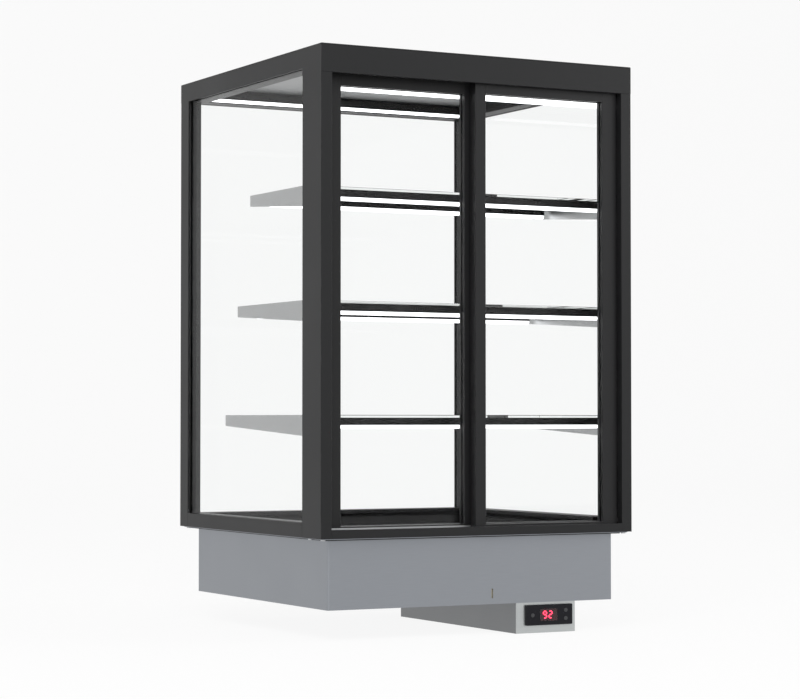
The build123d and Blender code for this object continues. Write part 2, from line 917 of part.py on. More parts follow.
def build_shelf_bars(shelf):
    """The two light bars bonded under a shelf's glass: channels with their mouths down."""
    level = shelf_level[shelf]
    with BuildPart() as bars:
        for bar_front, bar_rear, half_length in shelf_bar_spans(shelf):
            middle_y = (bar_front + bar_rear) / 2
            with BuildSketch(Plane.YZ.offset(-half_length)):
                patch((bar_front, bar_rear), (level - shelf_bar_height, level))
                patch(
                    (middle_y - diffuser_width / 2, middle_y + diffuser_width / 2),
                    (level - shelf_bar_height, level - shelf_bar_wall),
                    mode=Mode.SUBTRACT,
                )
            extrude(amount=2 * half_length)
    save(bars, f"shelf_{shelf}_bars")


def build_shelf_brackets(shelf):
    """A pair of tapered arms that hook into the posts and carry the glass on inner ledges."""
    level = shelf_level[shelf]
    top = bracket_top(shelf)
    tip_y = shelf_rear_y(shelf)
    ledge_front_y = shelf_front_y(shelf) + shelf_bar_depth + shelf_bar_clearance
    root_y = front_post_rear_y
    with BuildPart() as brackets:
        for side in (-1, 1):
            inner = side * bracket_inner_x
            with BuildSketch(Plane.YZ.offset(min(inner, side * bracket_outer_x))):
                with BuildLine():
                    Polyline(
                        (root_y, top - bracket_root_height),
                        (tip_y, top - bracket_tip_height),
                        (tip_y, top),
                        (root_y, top),
                        close=True,
                    )
                make_face()
                for low, high in hook_span(shelf):
                    patch((root_y - bracket_hook_depth, root_y), (low, high))
            extrude(amount=bracket_thickness)
            block(
                (inner, inner - side * bracket_ledge_width),
                (ledge_front_y, tip_y),
                (level - bracket_ledge_thickness, level),
            )
    save(brackets, f"shelf_{shelf}_brackets")


for shelf_name in shelf_names:
    build_shelf_glass(shelf_name)
    build_shelf_bars(shelf_name)
    build_shelf_brackets(shelf_name)

# Rollers stand in pockets at the foot of each stile
roller_z = track_floor_top + roller_floor_clearance + roller_radius
pocket_half_x = roller_radius + roller_side_clearance
pocket_half_y = roller_width / 2 + roller_side_clearance
pocket_top = roller_z + roller_radius + roller_side_clearance
door_inner_x = door_overlap / 2


def roller_xs(side):
    """Where a door's outer and inner rollers stand. Side is -1 for the left door."""
    return side * (door_edge_x - outer_stile_width / 2), -side * (door_inner_x - roller_inset)


def build_door(side, door_y, name):
    """One framed door. Side is -1 for the left door, and door_y is its front face."""
    middle_y = door_y + door_depth / 2
    groove_half = door_glass_thickness / 2 + door_glass_clearance
    outer_edge = side * door_edge_x
    outer_line = side * (door_edge_x - outer_stile_width)
    inner_edge = -side * door_inner_x
    inner_line = -side * (door_inner_x - inner_stile_width)
    grip = door_glass_grip + door_glass_clearance
    inside_y = (door_y + stile_wall, door_y + door_depth - stile_wall)
    stile_spans = ((outer_edge, outer_line), (inner_edge, inner_line))

    with BuildPart() as stiles:
        for (edge, line), x in zip(stile_spans, roller_xs(side)):
            inward = 1 if line > edge else -1
            hollow = (edge + inward * stile_wall, line - inward * (grip + stile_wall))
            with BuildSketch(Plane.XY.offset(door_bottom_z)):
                patch((edge, line), (door_y, door_y + door_depth), radius=edge_round)
                patch(
                    (line - inward * grip, line),
                    (middle_y - groove_half, middle_y + groove_half),
                    mode=Mode.SUBTRACT,
                )
                patch(hollow, inside_y, mode=Mode.SUBTRACT)
            extrude(amount=door_top_z - door_bottom_z)
            block(hollow, inside_y, (door_bottom_z, pocket_top + stile_wall))
            block(
                (x - pocket_half_x, x + pocket_half_x),
                (middle_y - pocket_half_y, middle_y + pocket_half_y),
                (door_bottom_z, pocket_top),
                mode=Mode.SUBTRACT,
            )
            with BuildSketch(Plane.XZ.offset(-(middle_y + pocket_half_y + roller_journal_length))):
                with Locations((x, roller_z)):
                    Circle(roller_journal_radius + journal_clearance)
            extrude(amount=2 * (pocket_half_y + roller_journal_length), mode=Mode.SUBTRACT)
    save(stiles, f"{name}_stiles")

    with BuildPart() as rails:
        length = abs(inner_line - outer_line)
        with BuildSketch(Plane.YZ.offset(min(inner_line, outer_line))):
            patch(
                (door_y, door_y + door_depth),
                (door_bottom_z, door_bottom_z + door_bottom_rail),
                radius=edge_round,
            )
            patch((door_y, door_y + door_depth), (door_top_z - door_top_rail, door_top_z))
            for low, high in (
                (door_bottom_z + door_bottom_rail - grip, door_bottom_z + door_bottom_rail),
                (door_top_z - door_top_rail, door_top_z - door_top_rail + grip),
            ):
                patch(
                    (middle_y - groove_half, middle_y + groove_half),
                    (low, high),
                    mode=Mode.SUBTRACT,
                )
            patch(
                inside_y,
                (door_top_z - door_top_rail + grip + stile_wall, door_top_z - stile_wall),
                mode=Mode.SUBTRACT,
            )
        extrude(amount=length)
    save(rails, f"{name}_rails")

    with BuildPart() as glass:
        block(
            (
                outer_line + side * door_glass_grip,
                inner_line - side * door_glass_grip,
            ),
            (middle_y - door_glass_thickness / 2, middle_y + door_glass_thickness / 2),
            (
                door_bottom_z + door_bottom_rail - door_glass_grip,
                door_top_z - door_top_rail + door_glass_grip,
            ),
        )
    save(glass, f"{name}_glass")

    for x, place in zip(roller_xs(side), ("outer", "inner")):
        with BuildPart() as roller:
            with BuildSketch(Plane.XZ.offset(-(middle_y + roller_width / 2))):
                with Locations((x, roller_z)):
                    Circle(roller_radius)
            extrude(amount=roller_width)
            journal_half = roller_width / 2 + roller_journal_length
            with BuildSketch(Plane.XZ.offset(-(middle_y + journal_half))):
                with Locations((x, roller_z)):
                    Circle(roller_journal_radius)
            extrude(amount=2 * journal_half)
        save(roller, f"{name}_{place}_roller")


build_door(-1, rear_door_y, "left_door")
build_door(1, front_door_y, "right_door")

# Control box: a folded steel tray screwed up under the tub, open at the front and top
control_right = control_left + control_width
control_top = tub_bottom
control_bottom = control_top - control_height
control_front_y = tub_front_y
box_front_y = control_front_y + control_plate
box_rear_y = control_front_y + control_length
with BuildPart() as control_box:
    block((control_left, control_right), (box_front_y, box_rear_y), (control_bottom, control_top))
    block(
        (control_left + control_sheet, control_right - control_sheet),
        (box_front_y, box_rear_y - control_sheet),
        (control_bottom + control_sheet, control_top - control_sheet),
        mode=Mode.SUBTRACT,
    )
    block(
        (control_left + control_flange, control_right - control_flange),
        (box_front_y, box_rear_y - control_flange),
        (control_top - control_sheet, control_top),
        mode=Mode.SUBTRACT,
    )
    with BuildSketch(Plane.XZ.offset(-box_rear_y)):
        with Locations((control_left + gland_x, control_bottom + control_height / 2)):
            Circle(gland_radius + cutout_clearance)
    extrude(amount=control_sheet, mode=Mode.SUBTRACT)
save(control_box, "control_box")

# Control front: the steel plate that closes the box and holds the controller
fascia_x = control_right - fascia_right_margin - fascia_width / 2
fascia_z = control_top - fascia_top_margin - fascia_height / 2
with BuildPart() as control_front:
    with BuildSketch(Plane.XZ.offset(-box_front_y)):
        patch((control_left, control_right), (control_bottom, control_top), radius=edge_round)
        with Locations((fascia_x, fascia_z)):
            Rectangle(
                controller_body_width + 2 * cutout_clearance,
                controller_body_height + 2 * cutout_clearance,
                mode=Mode.SUBTRACT,
            )
    extrude(amount=control_plate)
save(control_front, "control_front")

# Controller case: the black fascia in front of the plate and its body behind
fascia_front_y = control_front_y - fascia_thickness
key_hole_depth = key_length - key_proud + key_travel + key_floor_clearance
window_x = fascia_x + window_offset
with BuildPart() as controller_case:
    with BuildSketch(Plane.XZ.offset(-control_front_y)):
        with Locations((fascia_x, fascia_z)):
            RectangleRounded(fascia_width, fascia_height, 2 * edge_round)
    extrude(amount=fascia_thickness)
    chamfer(controller_case.faces().sort_by(Axis.Y)[0].edges(), edge_round)
    with BuildSketch(Plane.XZ.offset(-(control_front_y + controller_body_depth))):
        with Locations((fascia_x, fascia_z)):
            Rectangle(controller_body_width, controller_body_height)
    extrude(amount=controller_body_depth)
    with BuildSketch(Plane.XZ.offset(-(fascia_front_y + window_pocket))):
        with Locations((window_x, fascia_z)):
            Rectangle(window_width, window_height)
    extrude(amount=window_pocket, mode=Mode.SUBTRACT)
    with BuildSketch(Plane.XZ.offset(-(fascia_front_y + key_hole_depth))):
        with Locations(*[(fascia_x + x, fascia_z + z) for x, z in key_places.values()]):
            Circle(key_radius + key_clearance)
    extrude(amount=key_hole_depth, mode=Mode.SUBTRACT)
save(controller_case, "controller_case")

# Controller window: the tinted cover of the readout
with BuildPart() as controller_window:
    with BuildSketch(Plane.XZ.offset(-(fascia_front_y + window_thickness))):
        with Locations((window_x, fascia_z)):
            Rectangle(window_width - journal_clearance, window_height - journal_clearance)
    extrude(amount=window_thickness)
save(controller_window, "controller_window")

# Controller digits: the lit bars of a two-figure readout on the floor of the window's pocket
digit_bars = {"9": "abcdfg", "2": "abdeg"}
bar_places = {
    "a": (0.0, 1.0),
    "g": (0.0, 0.0),
    "d": (0.0, -1.0),
    "f": (-1.0, 0.5),
    "b": (1.0, 0.5),
    "e": (-1.0, -0.5),
    "c": (1.0, -0.5),
}
digit_reach_x = (digit_width - digit_stroke) / 2
digit_reach_z = (digit_height - digit_stroke) / 2
digit_floor_y = fascia_front_y + window_pocket
with BuildPart() as controller_digits:
    for position, figure in enumerate(shown_digits):
        digit_x = window_x + (position - (len(shown_digits) - 1) / 2) * digit_pitch
        for bar in digit_bars[figure]:
            across, up = bar_places[bar]
            long_way = 2 * digit_reach_x if across == 0 else digit_reach_z
            long_way = long_way - digit_stroke - 2 * digit_slant_gap
            size = (long_way, digit_stroke) if across == 0 else (digit_stroke, long_way)
            with BuildSketch(Plane.XZ.offset(-digit_floor_y)):
                with Locations((digit_x + across * digit_reach_x, fascia_z + up * digit_reach_z)):
                    Rectangle(*size)
            extrude(amount=digit_thickness)
save(controller_digits, "controller_digits")


def build_key(name):
    """A round key with a domed edge, standing a little proud of the fascia."""
    across, up = key_places[name]
    with BuildPart() as key:
        with BuildSketch(Plane.XZ.offset(-(fascia_front_y - key_proud + key_length))):
            with Locations((fascia_x + across, fascia_z + up)):
                Circle(key_radius)
        extrude(amount=key_length)
        fillet(key.edges().group_by(Axis.Y)[0], key_edge_round)
    save(key, name)


for key_name in key_places:
    build_key(key_name)

# Terminal block on the box's floor, with a screw clamp for each wire
terminal_x = control_left + control_width / 2
terminal_y = box_rear_y - terminal_from_rear
with BuildPart() as terminal_block:
    floor_z = control_bottom + control_sheet
    block(
        (terminal_x - terminal_length / 2, terminal_x + terminal_length / 2),
        (terminal_y, terminal_y + terminal_width),
        (floor_z, floor_z + terminal_height),
    )
    upright_hole(
        [
            (
                terminal_x + (number - (terminal_count - 1) / 2) * terminal_pitch,
                terminal_y + terminal_width / 2,
            )
            for number in range(terminal_count)
        ],
        terminal_screw_radius,
        (floor_z + terminal_height - terminal_screw_depth, floor_z + terminal_height),
    )
save(terminal_block, "terminal_block")

# Cable gland: nut, body and cap through the box's rear wall, with a bore for the mains cable
gland_z = control_bottom + control_height / 2
with BuildPart() as cable_gland:
    for radius, low, high in (
        (gland_radius, box_rear_y - gland_thread_inside, box_rear_y + gland_nut_length),
        (gland_cap_radius, box_rear_y, box_rear_y + gland_cap_length),
    ):
        with BuildSketch(Plane.XZ.offset(-high)):
            with Locations((control_left + gland_x, gland_z)):
                Circle(radius)
        extrude(amount=high - low)
    for high in (box_rear_y + gland_nut_length, box_rear_y - control_sheet):
        with BuildSketch(Plane.XZ.offset(-high)):
            with Locations((control_left + gland_x, gland_z)):
                RegularPolygon(gland_nut_radius, 6)
        extrude(amount=gland_nut_length)
    with BuildSketch(Plane.XZ.offset(-(box_rear_y + gland_cap_length))):
        with Locations((control_left + gland_x, gland_z)):
            Circle(gland_bore_radius)
    extrude(amount=gland_cap_length + gland_thread_inside, mode=Mode.SUBTRACT)
save(cable_gland, "cable_gland")

# Frame screws: short ones up through the flange and long ones down through the top rails
with BuildPart() as frame_screws:
    for x, y in screw_places:
        seat_z = header_floor if y < 0 else top_rail_floor
        for head_low, head_high, shank_low, shank_high in (
            (
                gasket_thickness - base_screw_head,
                gasket_thickness,
                gasket_thickness,
                gasket_thickness + base_screw_length,
            ),
            (seat_z, seat_z + frame_screw_head, seat_z - frame_screw_length, seat_z),
        ):
            for radius, low, high in (
                (screw_head_radius, head_low, head_high),
                (screw_radius, shank_low, shank_high),
            ):
                with BuildSketch(Plane.XY.offset(low)):
                    with Locations((x, y)):
                        Circle(radius)
                extrude(amount=high - low)
save(frame_screws, "frame_screws")
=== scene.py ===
import math

import bpy
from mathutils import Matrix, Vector


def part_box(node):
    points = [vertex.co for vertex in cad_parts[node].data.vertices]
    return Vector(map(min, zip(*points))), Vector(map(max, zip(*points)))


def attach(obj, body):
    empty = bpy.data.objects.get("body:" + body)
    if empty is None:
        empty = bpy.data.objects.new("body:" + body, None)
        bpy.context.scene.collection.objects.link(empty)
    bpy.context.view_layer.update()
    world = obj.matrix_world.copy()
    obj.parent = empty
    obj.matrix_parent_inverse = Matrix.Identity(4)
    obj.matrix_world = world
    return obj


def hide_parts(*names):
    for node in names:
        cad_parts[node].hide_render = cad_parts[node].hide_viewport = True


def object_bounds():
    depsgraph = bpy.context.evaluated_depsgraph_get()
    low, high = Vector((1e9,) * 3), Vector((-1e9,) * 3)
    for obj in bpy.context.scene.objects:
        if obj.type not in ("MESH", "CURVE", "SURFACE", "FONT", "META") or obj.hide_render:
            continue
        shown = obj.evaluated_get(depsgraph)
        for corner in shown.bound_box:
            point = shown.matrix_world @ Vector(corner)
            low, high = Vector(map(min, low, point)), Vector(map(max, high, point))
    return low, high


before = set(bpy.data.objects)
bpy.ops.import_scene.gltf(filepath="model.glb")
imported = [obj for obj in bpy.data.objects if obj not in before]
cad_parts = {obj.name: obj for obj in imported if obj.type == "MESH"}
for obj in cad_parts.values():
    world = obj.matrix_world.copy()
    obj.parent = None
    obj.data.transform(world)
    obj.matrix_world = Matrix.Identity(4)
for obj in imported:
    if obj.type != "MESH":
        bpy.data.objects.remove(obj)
cad_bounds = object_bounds()


# Tub: a shallow pan folded from brushed stainless sheet, with a flange turned out round its
# top. A narrow slot in its front wall lets the control box's wires through.
class Level:
    """A number that varies over a surface, so that shader maths reads as plain sums."""

    def __init__(self, shading, socket):
        self.shading = shading
        self.socket = socket

    def maths(self, operation, *operands):
        settings = {"operation": operation}
        return self.shading.node("ShaderNodeMath", settings, dict(enumerate(operands)))

    def __add__(self, other):
        return self.maths("ADD", self, other)

    __radd__ = __add__

    def __mul__(self, other):
        return self.maths("MULTIPLY", self, other)

    __rmul__ = __mul__

    def __sub__(self, other):
        return self.maths("SUBTRACT", self, other)

    def __rsub__(self, other):
        return self.maths("SUBTRACT", other, self)

    def __abs__(self):
        return self.maths("ABSOLUTE", self)

    def either(self, other):
        """The greater of this and another level."""
        return self.maths("MAXIMUM", self, other)


class Shading:
    """The nodes of a material or of the world, and the shader that they feed."""

    def __init__(self, owner, shader):
        owner.use_nodes = True
        self.tree = owner.node_tree
        self.shader = self.tree.nodes[shader]

    def set(self, socket, value):
        """Sets a socket of the shader to a number or colour, or links it to what varies it."""
        if isinstance(value, Level):
            self.tree.links.new(value.socket, self.shader.inputs[socket])
        else:
            self.shader.inputs[socket].default_value = value

    def node(self, kind, settings=None, inputs=None, output=0):
        """Adds a node: its settings first, then its sockets' values or links."""
        added = self.tree.nodes.new(kind)
        for setting, value in (settings or {}).items():
            setattr(added, setting, value)
        for socket, value in (inputs or {}).items():
            if isinstance(value, Level):
                self.tree.links.new(value.socket, added.inputs[socket])
            else:
                added.inputs[socket].default_value = value
        return Level(self, added.outputs[output])


class Finish(Shading):
    """A procedural finish: one Principled shader, and the nodes that vary it over a surface."""

    def __init__(self, name, colour, roughness=0.5, metallic=0.0, **constants):
        self.material = bpy.data.materials.new(name)
        super().__init__(self.material, "Principled BSDF")
        self.colour = colour
        self.set("Base Color", (*colour, 1.0))
        self.set("Roughness", roughness)
        self.set("Metallic", metallic)
        for socket, value in constants.items():
            self.set(socket.replace("_", " "), value)

    def place(self):
        """A point's place on the object, in metres."""
        return self.node("ShaderNodeTexCoord", output="Object")

    def axes(self):
        """A point's X, Y and Z on the object, in metres."""
        split = self.node("ShaderNodeSeparateXYZ", inputs={0: self.place()})
        return [Level(self, out) for out in split.socket.node.outputs]

    def noise(self, per_metre, detail=3.0, stretch=(1.0, 1.0, 1.0), grain=0.5):
        """Soft noise from 0 to 1, with that many patches to a metre. A stretch of less than
        1 along an axis draws the patches out along it."""
        drawn = self.node("ShaderNodeMapping", inputs={"Vector": self.place(), "Scale": stretch})
        sockets = {"Vector": drawn, "Scale": per_metre, "Detail": detail, "Roughness": grain}
        return self.node("ShaderNodeTexNoise", inputs=sockets)

    def ramp(self, level, low, high):
        """0 below low, 1 above high, and smooth between them."""
        sockets = {"Value": level, "From Min": low, "From Max": high}
        return self.node("ShaderNodeMapRange", {"interpolation_type": "SMOOTHSTEP"}, sockets)

    def blend(self, level, first, second):
        """The first colour where level is 0, the second where it is 1."""
        factor_socket, first_socket, second_socket, colour_output = 0, 6, 7, 2
        sockets = {factor_socket: level, first_socket: (*first, 1.0), second_socket: (*second, 1.0)}
        return self.node("ShaderNodeMix", {"data_type": "RGBA"}, sockets, colour_output)

    def tint(self, level, other):
        """Turns the finish's own colour towards the other one as level goes from 0 to 1."""
        self.set("Base Color", self.blend(level, self.colour, other))

    def cloud(self, low, high, per_metre):
        """Lets the roughness drift from low to high, with that many patches to a metre."""
        self.set("Roughness", low + self.noise(per_metre) * (high - low))

    def relief(self, height, depth):
        """Makes height, from 0 to 1, a relief of that depth in metres."""
        sockets = {"Height": height, "Distance": depth, "Strength": 1.0}
        self.set("Normal", self.node("ShaderNodeBump", inputs=sockets))

    def dress(self, *names):
        """Gives this finish to CAD nodes."""
        for name in names:
            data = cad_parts[name].data
            data.materials.clear()
            data.materials.append(self.material)


def brushed_steel(name, colour, roughness, along, lines_per_metre=1400.0):
    """Bare metal with fine brushing lines along one axis, in sheen, colour and relief."""
    line_stretch = 0.02
    line_depth = 0.00001
    line_shade = 0.86
    drift = 0.12
    clouds_per_metre = 7.0
    steel = Finish(name, colour, roughness, metallic=1.0)
    stretch = tuple(line_stretch if axis == along else 1.0 for axis in "XYZ")
    lines = steel.noise(lines_per_metre, detail=4.0, stretch=stretch)
    clouds = steel.noise(clouds_per_metre)
    steel.set("Roughness", roughness + (lines - 0.5) * drift + (clouds - 0.5) * drift)
    shaded = tuple(line_shade * part for part in colour)
    steel.set("Base Color", steel.blend(lines, shaded, colour))
    steel.relief(lines, line_depth)
    return steel


# Painted shade: the tub's steel is given a darker colour than bare stainless, for the shade that it
# hangs in under a counter.
brushed_steel("tub_steel", (0.3, 0.315, 0.34), 0.36, along="X").dress("tub")


# Gasket: strips of closed-cell foam that are cut from roll and stick to the underside of
# the tub's flange.
gasket_foam = Finish("gasket_foam", (0.012, 0.012, 0.013), 0.9)
cells = gasket_foam.noise(per_metre=1500.0)
gasket_foam.tint(cells, (0.03, 0.03, 0.031))
gasket_foam.relief(cells, depth=0.0002)
gasket_foam.dress("counter_gasket")


# Insulation: slabs of mineral wool that fill the tub, laid flat.
# Its fibres run level, so they are short in height and long across.
wool = Finish("mineral_wool", (0.32, 0.27, 0.17), 0.95)
fibres = wool.noise(per_metre=160.0, detail=8.0, stretch=(1.0, 1.0, 4.0), grain=0.7)
wool.tint(fibres, (0.62, 0.57, 0.42))
wool.relief(fibres, depth=0.002)
wool.dress("insulation")


# Heater: a red silicone mat with a woven face, pressed under the deck. The deck's sensor is
# a brushed steel capsule that lies in a slot of the wool.
weave_per_metre = 900.0
checker_factor = 1
silicone = Finish("heater_silicone", (0.27, 0.05, 0.035), 0.65)
weave_sockets = {"Vector": silicone.place(), "Scale": weave_per_metre}
weave = silicone.node("ShaderNodeTexChecker", inputs=weave_sockets, output=checker_factor)
silicone.tint(weave, (0.36, 0.07, 0.045))
silicone.relief(weave, depth=0.0001)
silicone.dress("heater_mat")
brushed_steel("capsule_steel", (0.55, 0.55, 0.56), 0.3, along="Y").dress("deck_probe")


# Deck: a plate of toughened glass, enamelled black, that lies in the base rails' rebate.
# Its face has a low gloss, dulled a little by wiping.
deck_gloss = 0.03
wiped_gloss = 0.015
deck_enamel = Finish(
    "deck_enamel", (0.005, 0.005, 0.0055), 0.3, Specular_IOR_Level=0.0, Coat_Roughness=0.05
)
wipes = deck_enamel.ramp(
    deck_enamel.noise(per_metre=9.0, detail=5.0, stretch=(1.0, 3.0, 1.0)), 0.45, 0.75
)
deck_enamel.set("Coat Weight", deck_gloss - wipes * (deck_gloss - wiped_gloss))
deck_enamel.dress("deck_glass")


# Frame: base rails, posts, header, top rails and roof sheet, all powder coated satin black.
# The coat has a fine orange peel, and is rubbed a little along the outer upright corners,
# where a painted highlight also lightens its colour.
case_low, case_high = (Vector(corner) for corner in cad_bounds)


def powder_coat(name, colour, roughness):
    """Satin powder coat: orange peel, slow changes of sheen, rubbed corners with a painted
    highlight.
    """
    rubbed_and_highlight_width = 0.0025
    painted_highlight_share = 0.6
    painted_highlight_lift = 2.6
    rubbed_polish = 0.08
    sheen_drift = 0.12
    coat = Finish(name, colour, roughness, Specular_IOR_Level=0.26)
    peel = coat.noise(per_metre=700.0, detail=2.0)
    sheen = coat.noise(per_metre=5.0)
    patches = coat.ramp(coat.noise(per_metre=45.0, detail=4.0), 0.42, 0.7)
    across, inward, _ = coat.axes()
    at_side = coat.ramp(abs(across), case_high.x - rubbed_and_highlight_width, case_high.x)
    at_end = coat.ramp(abs(inward), case_high.y - rubbed_and_highlight_width, case_high.y)
    rubbed_and_highlight = at_side * at_end * patches
    # Painted highlight: the colour is lightened at the outer upright corners, standing in for the
    # gleam of a rounded edge; the rub itself only lowers the roughness.
    coat.tint(rubbed_and_highlight * painted_highlight_share, tuple(painted_highlight_lift * part for part in colour))
    coat.set("Roughness", roughness + (sheen - 0.5) * sheen_drift - rubbed_and_highlight * rubbed_polish)
    coat.relief(peel, depth=0.00004)
    return coat


frame_coat = powder_coat("frame_coat", (0.0105, 0.0107, 0.0114), 0.42)
frame_coat.dress("base_rail_front", "base_rail_rear", "base_rail_left", "base_rail_right")
frame_coat.dress("post_front_left", "post_front_right", "post_rear_left", "post_rear_right")
frame_coat.dress("header_rail", "top_rail_rear", "top_rail_left", "top_rail_right", "roof_panel")


# Ceiling: a pan of sheet steel, coated satin grey, that is turned up to the roof between
# the top rails.
ceiling_coat = Finish("ceiling_coat", (0.42, 0.425, 0.43), Specular_IOR_Level=0.3)
ceiling_coat.cloud(0.34, 0.46, per_metre=6.0)
ceiling_coat.relief(ceiling_coat.noise(per_metre=600.0), depth=0.00003)
ceiling_coat.dress("ceiling_panel")


# Screws: zinc-plated steel with pan heads. Short ones come up through the tub's flange into
# the posts, and long ones go down through the top rails.
zinc = Finish("zinc_plate", (0.5, 0.51, 0.52), metallic=1.0)
zinc.cloud(0.28, 0.44, per_metre=300.0)
zinc.dress("frame_screws")


# Fixed glass: three clear toughened panes. Black rubber channels grip their edges in the
# frame's grooves, and the pads where the doors come to a stop are of the same rubber.
def clear_glass(name, colour, index):
    """Clear glass of that index of refraction, with a few faint smears."""
    smeared_roughness = 0.02
    glass = Finish(name, colour, Transmission_Weight=1.0, IOR=index)
    smears = glass.ramp(glass.noise(per_metre=5.0, detail=6.0, stretch=(1.0, 1.0, 0.4)), 0.62, 0.8)
    glass.set("Roughness", smears * smeared_roughness)
    return glass


pane_index = 1.12
pane_glass = clear_glass("pane_glass", (0.985, 0.99, 0.988), pane_index)
pane_glass.dress("side_glass_left", "side_glass_right", "rear_glass")

seal_rubber = Finish("seal_rubber", (0.012, 0.012, 0.012))
seal_rubber.cloud(0.62, 0.82, per_metre=90.0)
seal_rubber.relief(seal_rubber.noise(per_metre=900.0), depth=0.00005)
seal_rubber.dress("glass_seals", "track_buffers")


# Door tracks: double channels of extruded aluminium. The lower one is left natural and lies
# in the sill, and the upper one is coated black, deep in the header.
track_aluminium = brushed_steel(
    "track_aluminium", (0.62, 0.63, 0.64), 0.34, along="X", lines_per_metre=2200.0
)
track_aluminium.dress("bottom_track")
powder_coat("track_coat", (0.009, 0.009, 0.009), 0.5).dress("top_track")


# Sliding doors: coated stiles and rails round a clear pane, with a nylon roller at the foot
# of each stile.
door_coat = powder_coat("door_coat", (0.0115, 0.0115, 0.0122), 0.38)
door_glass = clear_glass("door_glass", (0.99, 0.995, 0.993), pane_index)
roller_nylon = Finish("roller_nylon", (0.72, 0.71, 0.67))
roller_nylon.cloud(0.4, 0.55, per_metre=220.0)
for door in ("left_door", "right_door"):
    door_coat.dress(f"{door}_stiles", f"{door}_rails")
    door_glass.dress(f"{door}_glass")
    roller_nylon.dress(f"{door}_outer_roller", f"{door}_inner_roller")


# Shelves: clear glass on satin steel brackets that hook into the front posts, with two
# black light bars bonded underneath, along the front edge and near the rear edge.
shelf_index = 1.5
shelf_glass = clear_glass("shelf_glass", (0.95, 0.975, 0.968), shelf_index)
shelf_coat = powder_coat("shelf_coat", (0.008, 0.008, 0.0085), 0.45)
bracket_steel = brushed_steel(
    "bracket_steel", (0.46, 0.465, 0.47), 0.34, along="Y", lines_per_metre=1200.0
)
for shelf in ("top", "middle", "bottom"):
    shelf_glass.dress(f"shelf_{shelf}_glass")
    shelf_coat.dress(f"shelf_{shelf}_bars")
    bracket_steel.dress(f"shelf_{shelf}_brackets")


# Lamps: black holders under the header and the ceiling, with opal covers that are lit
# evenly from inside. The shelves' light bars have opal covers of the same kind.
powder_coat("lamp_coat", (0.009, 0.009, 0.0095), 0.45).dress("lamp_holders")
opal = Finish("opal_cover", (0.85, 0.86, 0.87), 0.35, Emission_Strength=2.2)
glow = opal.noise(per_metre=30.0, detail=1.0)
opal.set("Emission Color", opal.blend(glow, (0.96, 0.97, 1.0), (1.0, 1.0, 1.0)))
opal.dress("led_diffusers")


# Control box: a tray folded from brushed steel and screwed up under the tub, closed at the
# front by a brighter plate that holds the controller.
box_steel = brushed_steel(
    "box_steel", (0.24, 0.245, 0.25), 0.4, along="Y", lines_per_metre=1300.0
)
box_steel.dress("control_box")
front_steel = brushed_steel(
    "front_steel", (0.5, 0.52, 0.52), 0.36, along="X", lines_per_metre=1500.0
)
front_steel.dress("control_front")


# Controller: a moulded black case with a red tinted window over two lit figures, and three
# round keys that press in.
case_plastic = Finish("controller_plastic", (0.005, 0.005, 0.008), Specular_IOR_Level=0.2)
case_plastic.cloud(0.18, 0.28, per_metre=500.0)
case_plastic.relief(case_plastic.noise(per_metre=2600.0), depth=0.00001)
case_plastic.dress("controller_case")

window_tint = Finish(
    "window_tint", (0.6, 0.08, 0.14), Transmission_Weight=1.0, Specular_IOR_Level=0.2
)
window_tint.cloud(0.02, 0.05, per_metre=200.0)
window_tint.dress("controller_window")

lit_red = Finish("lit_figures", (0.6, 0.02, 0.05), 0.4, Emission_Strength=8.0)
bars = lit_red.noise(per_metre=400.0)
lit_red.set("Emission Color", lit_red.blend(bars, (1.0, 0.22, 0.34), (1.0, 0.32, 0.42)))
lit_red.dress("controller_digits")

key_plastic = Finish("key_plastic", (0.03, 0.031, 0.034))
key_plastic.cloud(0.4, 0.55, per_metre=700.0)
key_plastic.relief(key_plastic.noise(per_metre=3000.0), depth=0.00001)
key_plastic.dress("key_set", "key_up", "key_down")


# Terminal block: cream moulded plastic on the control box's floor, with a screw clamp for
# each wire of the mains cable, the heater and the lamps.
terminal_plastic = Finish("terminal_plastic", (0.62, 0.58, 0.45))
terminal_plastic.cloud(0.45, 0.6, per_metre=300.0)
terminal_plastic.dress("terminal_block")


# Cable gland: moulded nylon. It has a thread with a hexagon on each side of the box's rear
# wall, and a ribbed dome nut with a bore for the mains cable.
gland_low, gland_high = (Vector(corner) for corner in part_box("cable_gland"))
gland_axis = (gland_low + gland_high) / 2
gland_length = gland_high.y - gland_low.y
gland_sides = 48
thread_radius = 0.010
thread_root = 0.0094
thread_pitch = 0.0015
thread_turns = 6
dome_start = 0.0155
rib_radius = 0.0095
rib_height = 0.0004
rib_length = 0.0065
dome_rounding = ((0.024, 0.0086), (0.0262, 0.0074), (0.0274, 0.0062), (0.028, 0.0052))
hexagon_radius = (gland_high.x - gland_low.x) / 2
hexagon_length = 0.006
hexagon_chamfer = 0.0005
hexagon_starts = (0.0028, 0.010)
bore_radius = 0.0043
smooth_angle = math.radians(25)


def gland_rod(sides, radius, start, length, turn=0.0):
    """Adds a rod on the gland's axis, start metres from the gland's inner end."""
    bpy.ops.object.select_all(action="DESELECT")
    middle = gland_low.y + start + length / 2
    bpy.ops.mesh.primitive_cylinder_add(
        vertices=sides,
        radius=radius,
        depth=length,
        location=(gland_axis.x, middle, gland_axis.z),
        rotation=(math.pi / 2, turn, 0),
    )
    bpy.ops.object.transform_apply(location=True, rotation=True, scale=True)
    return bpy.context.object


def combine_with_gland(operation, rod):
    """Joins a rod to the gland or cuts the gland with it, and takes the rod away."""
    bpy.ops.object.select_all(action="DESELECT")
    bpy.context.view_layer.objects.active = gland
    gland.select_set(True)
    change = gland.modifiers.new("change", "BOOLEAN")
    change.operation = operation
    change.object = rod
    bpy.ops.object.modifier_apply(modifier=change.name)
    bpy.data.objects.remove(rod)


